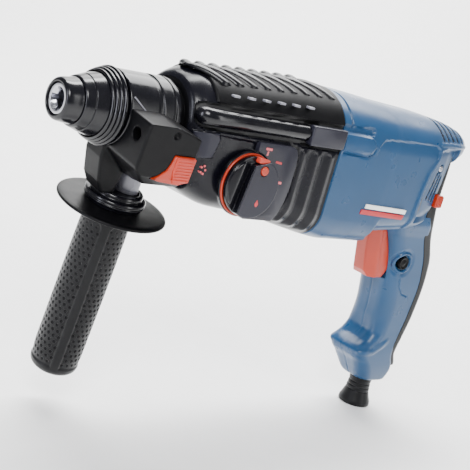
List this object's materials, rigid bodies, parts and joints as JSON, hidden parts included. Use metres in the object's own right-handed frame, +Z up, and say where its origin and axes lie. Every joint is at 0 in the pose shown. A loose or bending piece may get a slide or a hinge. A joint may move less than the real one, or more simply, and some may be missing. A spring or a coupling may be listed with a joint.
{
  "type": "rotary hammer",
  "caption": "Mains rotary hammer with pistol grip, drill-chisel socket, side handle with guard, mode dial, trigger and cable boot.",
  "frame": {"origin": "mouth of the tool socket, on the spindle axis", "axes": "+X runs back from the tool socket to the motor, -Y is the side with the mode dial, +Z is up with the pistol grip hanging down"},
  "size_m": [0.372, 0.0982, 0.2494],
  "materials": {
    "black_gloss_abs": "glossy moulded",
    "slate_abs": "satin moulded",
    "black_matt_pa": "matt glass-filled nylon",
    "black_rubber": "soft matt",
    "blue_abs": "semi-gloss moulded",
    "red_abs": "semi-gloss moulded",
    "bright_steel": "ground",
    "spring_steel": "drawn",
    "gear_steel": "hobbed, hardened",
    "cast_aluminium": "die cast",
    "lamination": "stamped stack",
    "copper_winding": "enamelled wire",
    "brass": "stamped",
    "carbon": "pressed carbon",
    "inner_plastic": "moulded",
    "seal_rubber": "moulded"
  },
  "bodies": {
    "housing": {"gear_housing": "slate_abs", "ribbed_cover": "black_matt_pa", "side_rails": "black_gloss_abs", "corner_clips": "slate_abs", "mode_plate": "slate_abs", "gear_case_plate": "cast_aluminium", "motor_end_plate": "inner_plastic", "motor_housing": "blue_abs", "handle_cover": "black_rubber", "spindle_seal": "seal_rubber", "spindle_bearing": "bright_steel", "layshaft_bush": "brass", "layshaft_bearing": "bright_steel", "stator_core": "lamination", "field_coils": "copper_winding", "carbon_brushes": "carbon", "brush_holders": "brass", "motor_bearings": "bright_steel", "switch_module": "inner_plastic", "capacitor": "inner_plastic", "cable_clamp": "inner_plastic", "clamp_screws": "bright_steel", "cable_boot": "black_rubber"},
    "spindle": {"tool_holder": "bright_steel", "locking_balls": "bright_steel", "dust_cap": "black_rubber", "lock_spring": "spring_steel", "backing_ring": "black_gloss_abs", "hammer_tube": "gear_steel", "clutch_spring": "spring_steel", "spindle_gear": "gear_steel"},
    "sleeve": {"locking_sleeve": "black_gloss_abs"},
    "impact_bolt": {"impact_bolt": "gear_steel"},
    "striker": {"striker": "gear_steel"},
    "piston": {"piston": "gear_steel"},
    "wobble": {"wobble_plate": "gear_steel"},
    "layshaft": {"layshaft": "gear_steel", "wobble_hub": "gear_steel", "driven_gear": "gear_steel", "shift_sleeve": "gear_steel"},
    "armature": {"armature_shaft": "gear_steel", "armature_core": "lamination", "armature_winding": "copper_winding", "commutator": "copper_winding", "cooling_fan": "inner_plastic"},
    "side_handle": {"clamp_band": "black_gloss_abs", "handle_bracket": "black_matt_pa", "handle_collar": "black_gloss_abs", "clamp_bolt": "bright_steel", "button_spring": "spring_steel"},
    "depth_button": {"depth_stop_button": "red_abs"},
    "side_grip": {"hand_guard": "black_matt_pa", "grip_core": "inner_plastic", "soft_grip": "black_rubber"},
    "dial": {"dial_ring": "red_abs", "dial_knob": "black_gloss_abs"},
    "release": {"dial_release": "red_abs"},
    "trigger": {"trigger": "red_abs"},
    "lock_button": {"lock_on_button": "black_matt_pa"},
    "lever": {"direction_lever": "red_abs"}
  },
  "joints": [
    {"name": "armature_turn", "type": "hinge", "parent": "housing", "child": "armature", "pos_m": [0.25, 0, -0.01425], "axis": [1, 0, 0], "continuous": true},
    {"name": "layshaft_turn", "type": "hinge", "parent": "housing", "child": "layshaft", "pos_m": [0.14, 0, -0.03625], "axis": [1, 0, 0], "continuous": true},
    {"name": "spindle_turn", "type": "hinge", "parent": "housing", "child": "spindle", "pos_m": [0.06, 0, 0], "axis": [1, 0, 0], "continuous": true},
    {"name": "sleeve_slide", "type": "slide", "parent": "spindle", "child": "sleeve", "axis": [1, 0, 0], "range_m": [0, 0.0075], "stiffness_N_per_m": 900, "springref_m": -0.006, "deforming": ["lock_spring"]},
    {"name": "impact_bolt_slide", "type": "slide", "parent": "spindle", "child": "impact_bolt", "axis": [1, 0, 0], "range_m": [-0.0035, 0]},
    {"name": "striker_slide", "type": "slide", "parent": "spindle", "child": "striker", "axis": [1, 0, 0], "range_m": [-0.0035, 0.009]},
    {"name": "piston_slide", "type": "slide", "parent": "housing", "child": "piston", "axis": [1, 0, 0], "range_m": [-0.0075, 0.0075]},
    {"name": "wobble_rock", "type": "hinge", "parent": "housing", "child": "wobble", "pos_m": [0.165, 0, -0.03625], "axis": [0, 1, 0], "range_deg": [-12, 12]},
    {"name": "handle_swivel", "type": "hinge", "parent": "housing", "child": "side_handle", "pos_m": [0.055, 0, 0], "axis": [1, 0, 0], "continuous": true},
    {"name": "grip_twist", "type": "hinge", "parent": "side_handle", "child": "side_grip", "pos_m": [0.0655, 0, 0], "axis": [0, 0.1582, -0.9874], "range_deg": [0, 180]},
    {"name": "depth_button_press", "type": "slide", "parent": "side_handle", "child": "depth_button", "axis": [0, 0.9874, 0.1582], "range_m": [0, 0.003], "stiffness_N_per_m": 700, "springref_m": -0.003, "deforming": ["button_spring"]},
    {"name": "dial_turn", "type": "hinge", "parent": "housing", "child": "dial", "pos_m": [0.1245, -0.041, -0.0285], "axis": [0, 1, 0], "range_deg": [-60, 110]},
    {"name": "release_press", "type": "slide", "parent": "dial", "child": "release", "axis": [0, 1, 0], "range_m": [0, 0.0015], "stiffness_N_per_m": 400, "springref_m": -0.001},
    {"name": "trigger_pull", "type": "hinge", "parent": "housing", "child": "trigger", "pos_m": [0.318, 0, -0.0625], "axis": [0, -1, 0], "range_deg": [0, 8], "stiffness_Nm_per_rad": 2.5, "springref_deg": -6.88},
    {"name": "lock_button_press", "type": "slide", "parent": "housing", "child": "lock_button", "axis": [0, 1, 0], "range_m": [0, 0.003], "stiffness_N_per_m": 500, "springref_m": -0.002},
    {"name": "direction_lever_slide", "type": "slide", "parent": "housing", "child": "lever", "axis": [0, 0, -1], "range_m": [0, 0.009]}
  ],
  "couplings": [
    {"joint": "layshaft_turn", "follows": "armature_turn", "ratio": -0.25714},
    {"joint": "spindle_turn", "follows": "armature_turn", "ratio": 0.089701},
    {"joint": "wobble_rock", "follows": "piston_slide", "rad_per_m": 27.586}
  ]
}
